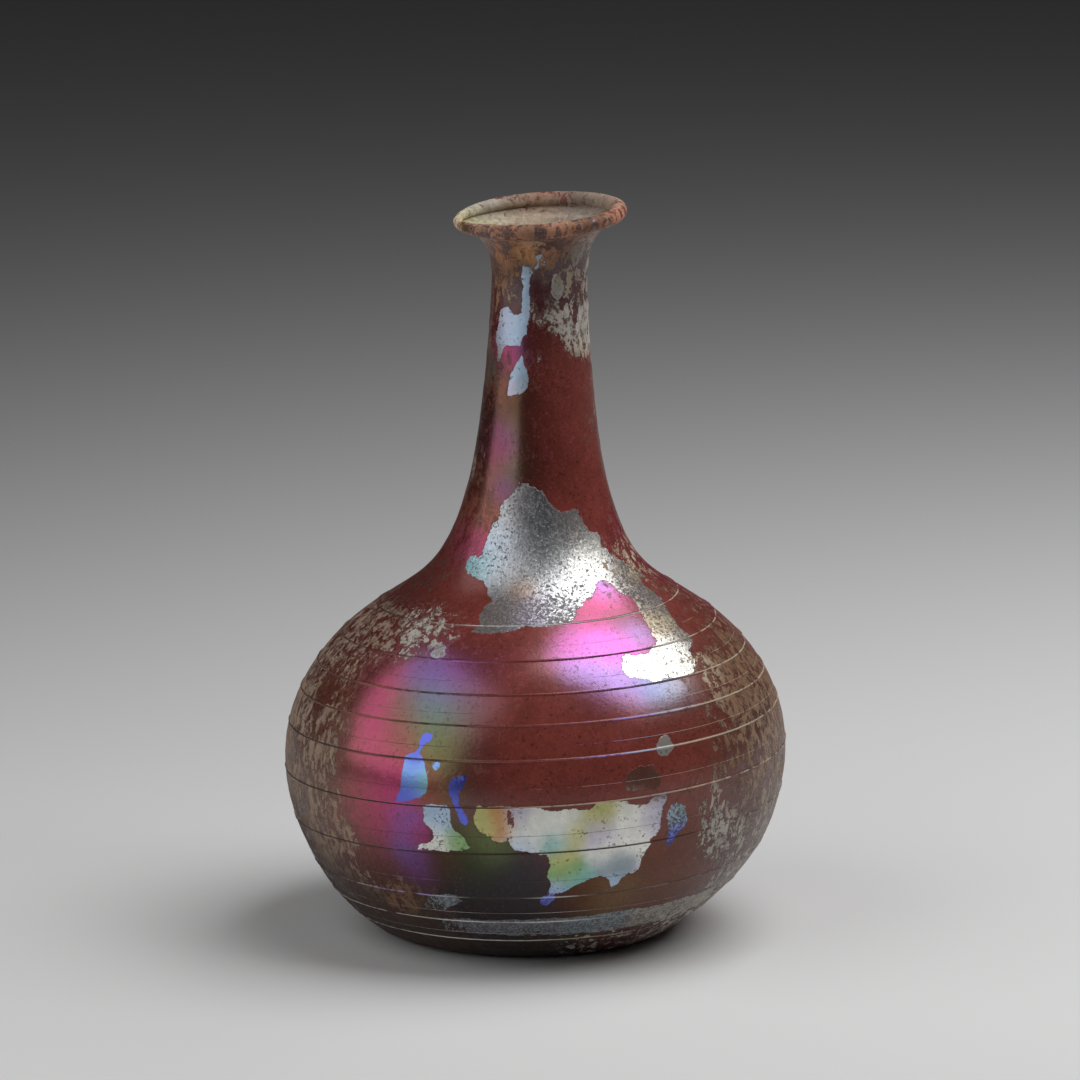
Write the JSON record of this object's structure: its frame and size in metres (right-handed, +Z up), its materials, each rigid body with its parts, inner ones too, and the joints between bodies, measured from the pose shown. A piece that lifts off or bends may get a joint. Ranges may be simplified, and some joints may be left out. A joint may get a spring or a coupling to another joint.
{
  "type": "roman glass unguentarium",
  "caption": "Free-blown glass flask with a globular body, tall tapering neck, inward-folded rim and a thread of glass wound spirally round the body.",
  "frame": {"origin": "on the surface the flask stands on, under the middle of its globular body", "axes": "+Z up through the mouth, -Y the front, +X to the right seen from the front"},
  "size_m": [0.0766, 0.0765, 0.1111],
  "materials": {
    "glass": "dark wine-red blown glass, buried and weathered: iridescent film, silvery flakes and brown crust"
  },
  "bodies": {
    "root": {"flask": "glass"}
  },
  "joints": []
}
